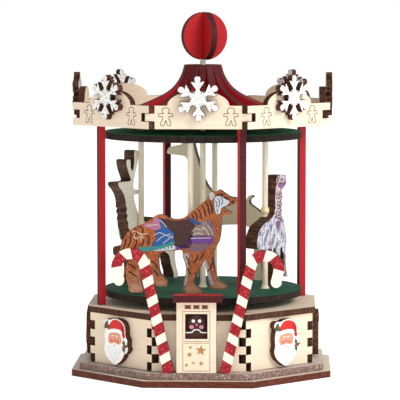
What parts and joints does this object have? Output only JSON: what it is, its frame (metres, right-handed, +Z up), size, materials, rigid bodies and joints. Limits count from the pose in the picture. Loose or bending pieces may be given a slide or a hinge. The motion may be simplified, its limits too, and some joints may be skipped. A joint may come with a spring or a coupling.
{
  "type": "carousel music box",
  "caption": "Wind-up wooden carousel music box: an octagonal drum, a turning platform of flat cut-out animals on poles, a scalloped canopy and a ribbed roof with a ball finial.",
  "frame": {"origin": "centre of the base plate's underside", "axes": "+Z up along the turning axis, -Y towards the ticket booth, +X to the right as seen from the front"},
  "size_m": [0.126, 0.126, 0.1767],
  "materials": {
    "birch": "matt, laser-cut plywood with charred edges",
    "red_paint": "satin red stain and paint",
    "green_paint": "matt green paint",
    "glitter_step": "silver glitter",
    "cane_cream": "cream with red glitter stripes",
    "dowel_wood": "bare dowel",
    "cookie_brown": "matt card",
    "tiger_print": "printed face, charred edges",
    "ostrich_print": "printed face, charred edges",
    "giraffe_print": "printed face, charred edges",
    "deer_print": "printed face, charred edges",
    "zinc": "die-cast",
    "brass": "satin",
    "steel": "satin"
  },
  "bodies": {
    "housing": {"base_plate": "red_paint", "bedplate": "zinc", "booth_clerk": "cookie_brown", "booth_front": "birch", "booth_roof": "red_paint", "candy_cane_left": "cane_cream", "candy_cane_right": "cane_cream", "canopy_plate": "birch", "comb_screw_1": "steel", "comb_screw_2": "steel", "drum_top_plate": "birch", "drum_wall_1": "birch", "drum_wall_2": "birch", "drum_wall_3": "birch", "drum_wall_4": "birch", "drum_wall_5": "birch", "drum_wall_6": "birch", "drum_wall_7": "birch", "drum_wall_8": "birch", "governor_bracket": "brass", "movement_board": "birch", "post_1": "red_paint", "post_2": "red_paint", "post_3": "red_paint", "post_4": "red_paint", "roof_ribs": "red_paint", "shaft_bush": "brass", "step_plate": "glitter_step", "tone_comb": "steel", "valance_board_1": "birch", "valance_board_2": "birch", "valance_board_3": "birch", "valance_board_4": "birch", "valance_board_5": "birch", "valance_board_6": "birch", "valance_board_7": "birch", "valance_board_8": "birch"},
    "turntable": {"turntable_disc": "green_paint", "turntable_hub": "brass", "upper_disc": "green_paint", "centre_shaft": "dowel_wood", "animal_pole_1": "dowel_wood", "animal_pole_2": "dowel_wood", "animal_pole_3": "dowel_wood", "animal_pole_4": "dowel_wood", "tiger": "tiger_print", "ostrich": "ostrich_print", "giraffe": "giraffe_print", "deer": "deer_print", "finial_disc_1": "red_paint", "finial_disc_2": "red_paint", "spring_barrel": "brass", "barrel_lid": "brass", "mainspring": "steel"},
    "winding_key": {"winding_arbor": "steel", "key_hub": "steel"},
    "key_ring": {"key_ring": "steel"},
    "cylinder": {"pin_cylinder": "brass"},
    "governor_wheel": {"governor_wheel": "brass"},
    "governor_fan": {"governor_fan": "brass"}
  },
  "joints": [
    {"name": "turntable_spin", "type": "hinge", "parent": "housing", "child": "turntable", "pos_m": [0, 0, 0.0392], "axis": [0, 0, 1], "continuous": true},
    {"name": "key_turn", "type": "hinge", "parent": "housing", "child": "winding_key", "pos_m": [0, 0, 0.004], "axis": [0, 0, 1], "range_deg": [0, 1440]},
    {"name": "key_fold", "type": "hinge", "parent": "winding_key", "child": "key_ring", "pos_m": [0, 0, 0.0031], "axis": [0, 1, 0], "range_deg": [0, 90]},
    {"name": "cylinder_spin", "type": "hinge", "parent": "housing", "child": "cylinder", "pos_m": [0.0265, 0, 0.0201], "axis": [1, 0, 0], "continuous": true},
    {"name": "governor_wheel_spin", "type": "hinge", "parent": "housing", "child": "governor_wheel", "pos_m": [-0.0181, 0, 0.015], "axis": [0, 0, 1], "continuous": true},
    {"name": "governor_fan_spin", "type": "hinge", "parent": "housing", "child": "governor_fan", "pos_m": [-0.02525, 0, 0.0178], "axis": [0, 1, 0], "continuous": true}
  ],
  "couplings": [
    {"joint": "cylinder_spin", "follows": "turntable_spin", "ratio": 3},
    {"joint": "governor_wheel_spin", "follows": "turntable_spin", "ratio": -5},
    {"joint": "governor_fan_spin", "follows": "turntable_spin", "ratio": -30}
  ]
}
